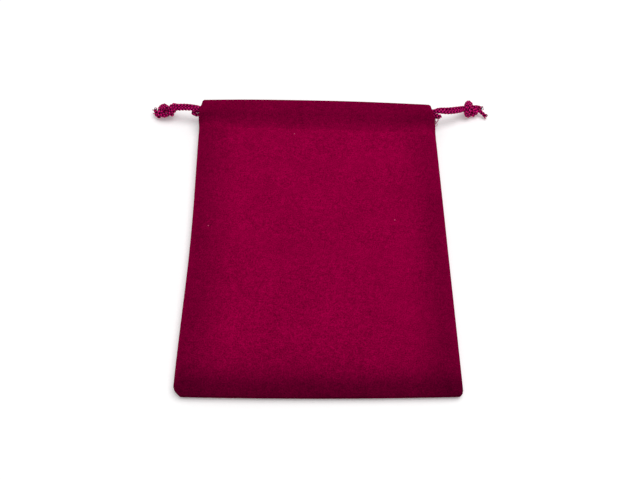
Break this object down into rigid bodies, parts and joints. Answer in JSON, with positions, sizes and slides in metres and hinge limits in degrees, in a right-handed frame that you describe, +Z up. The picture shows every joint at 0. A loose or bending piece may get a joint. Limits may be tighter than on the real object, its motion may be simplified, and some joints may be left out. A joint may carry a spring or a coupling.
{
  "type": "drawstring gift pouch",
  "caption": "Flat velour gift pouch with a stitched casing at the mouth and a drawcord knotted at each side.",
  "frame": {"origin": "on the surface that the pouch lies on, below the middle of its cloth, the cords left out", "axes": "+X to the right across the pouch, +Y from the bottom seam towards the mouth, +Z up out of the front panel"},
  "size_m": [0.1847, 0.1803, 0.0128],
  "materials": {
    "velour": "burgundy velour with a short soft nap",
    "cord": "shiny magenta braid",
    "thread": "burgundy sewing thread"
  },
  "bodies": {
    "root": {"front_panel": "velour", "back_panel": "velour", "front_hem_thread": "thread", "back_hem_thread": "thread", "seam_thread": "thread"},
    "left_cord": {"left_drawcord": "cord", "left_knot": "cord", "left_tail_a": "cord", "left_tail_b": "cord"},
    "right_cord": {"right_drawcord": "cord", "right_knot": "cord", "right_tail_a": "cord", "right_tail_b": "cord"}
  },
  "joints": [
    {"name": "left_cord_pull", "type": "slide", "parent": "root", "child": "left_cord", "axis": [-0.9994, 0.036, 0], "range_m": [0, 0.03], "deforming": ["front_panel", "back_panel"]},
    {"name": "right_cord_pull", "type": "slide", "parent": "root", "child": "right_cord", "axis": [0.9994, -0.036, 0], "range_m": [0, 0.03], "deforming": ["front_panel", "back_panel"]}
  ]
}
